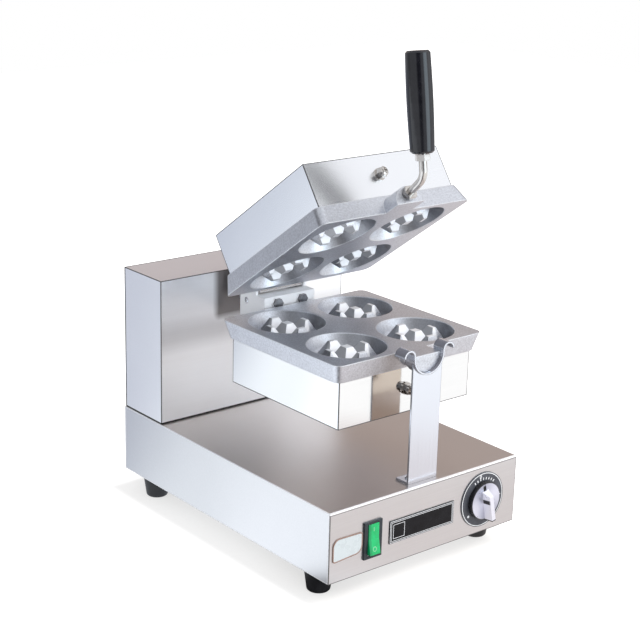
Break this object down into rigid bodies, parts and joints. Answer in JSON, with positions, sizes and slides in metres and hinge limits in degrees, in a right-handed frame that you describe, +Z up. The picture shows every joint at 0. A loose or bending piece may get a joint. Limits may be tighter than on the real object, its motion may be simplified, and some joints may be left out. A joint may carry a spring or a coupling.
{
  "type": "waffle maker",
  "caption": "Countertop waffle maker: a hinged cast plate with round peg-studded cavities over a fixed one, bent-rod handle, rear column, and a sheet-metal base with dial and rocker switch.",
  "frame": {"origin": "on the floor, midway between the base's sides and midway between the knob's front and the cord gland's back end", "axes": "+Z up, -Y towards the front panel with the dial and switch, +X to the right as seen from the front"},
  "size_m": [0.25, 0.3844, 0.517],
  "materials": {
    "outer_sheet": "brushed stainless sheet",
    "inner_sheet": "dull galvanised sheet",
    "cast_plate": "sand-cast, fine grain, machined parting faces",
    "nickel": "polished nickel plate",
    "zinc": "bright zinc plate",
    "dark_steel": "dark, blackened by heat",
    "brass": "plain brass",
    "foot_rubber": "matt black",
    "grip_plastic": "glossy black",
    "knob_plastic": "pale grey, satin",
    "dial_print": "dark grey with white marks",
    "tag_print": "black with silver border lines",
    "badge_plastic": "white with a brown rim",
    "switch_plastic": "dark slate",
    "rocker_plastic": "clear green",
    "pale_plastic": "ivory",
    "black_plastic": "matt black",
    "wool": "mineral wool"
  },
  "bodies": {
    "base": {"base_shell": "outer_sheet", "front_panel": "outer_sheet", "rear_panel": "outer_sheet", "bottom_cover": "inner_sheet", "foot_front_left": "foot_rubber", "foot_front_right": "foot_rubber", "foot_back_left": "foot_rubber", "foot_back_right": "foot_rubber", "base_screws": "zinc", "rear_panel_screws": "zinc", "column_shell": "outer_sheet", "column_rear_cover": "outer_sheet", "column_cover_screws": "zinc", "column_stiffener": "inner_sheet", "hinge_arm": "inner_sheet", "arm_bolts": "dark_steel", "hinge_bracket": "outer_sheet", "hinge_bracket_bolts": "dark_steel", "bracket_side_screws": "zinc", "hinge_pin": "zinc", "hinge_pin_nut": "zinc", "hinge_spring_washers": "dark_steel", "hinge_thrust_washers": "brass", "lid_stop_pin": "dark_steel", "support_post": "outer_sheet", "post_screws": "zinc", "cradle": "outer_sheet", "lower_plate": "cast_plate", "lower_heater": "dark_steel", "lower_clamp_plate": "inner_sheet", "lower_clamp_nuts": "zinc", "lower_insulation": "wool", "lower_housing": "outer_sheet", "lower_housing_bolt": "nickel", "plate_rear_bolts": "dark_steel", "thermostat": "inner_sheet", "thermostat_bulb": "brass", "dial_plate": "dial_print", "nameplate": "tag_print", "badge": "badge_plastic", "switch_body": "switch_plastic", "terminal_block": "pale_plastic", "cord_gland": "black_plastic", "gland_nut": "black_plastic", "lead_conduit": "inner_sheet"},
    "lid": {"upper_plate": "cast_plate", "upper_heater": "dark_steel", "upper_clamp_plate": "inner_sheet", "upper_clamp_nuts": "zinc", "upper_insulation": "wool", "upper_housing": "outer_sheet", "upper_housing_bolt": "nickel", "lid_hinge": "outer_sheet", "lid_hinge_screws": "dark_steel", "handle_rod": "nickel", "handle_nuts": "nickel", "handle_grip": "grip_plastic"},
    "knob": {"thermostat_knob": "knob_plastic"},
    "rocker": {"switch_rocker": "rocker_plastic"}
  },
  "joints": [
    {"name": "lid_hinge", "type": "hinge", "parent": "base", "child": "lid", "pos_m": [0, 0.0738, 0.2513], "axis": [-1, 0, 0], "range_deg": [-35.28, 54.72]},
    {"name": "thermostat_turn", "type": "hinge", "parent": "base", "child": "knob", "pos_m": [0.077, -0.1768, 0.06028], "axis": [0, 1, 0], "range_deg": [-139, 161]},
    {"name": "switch_rock", "type": "hinge", "parent": "base", "child": "rocker", "pos_m": [-0.0715, -0.1698, 0.05736], "axis": [1, 0, 0], "range_deg": [0, 12]}
  ]
}
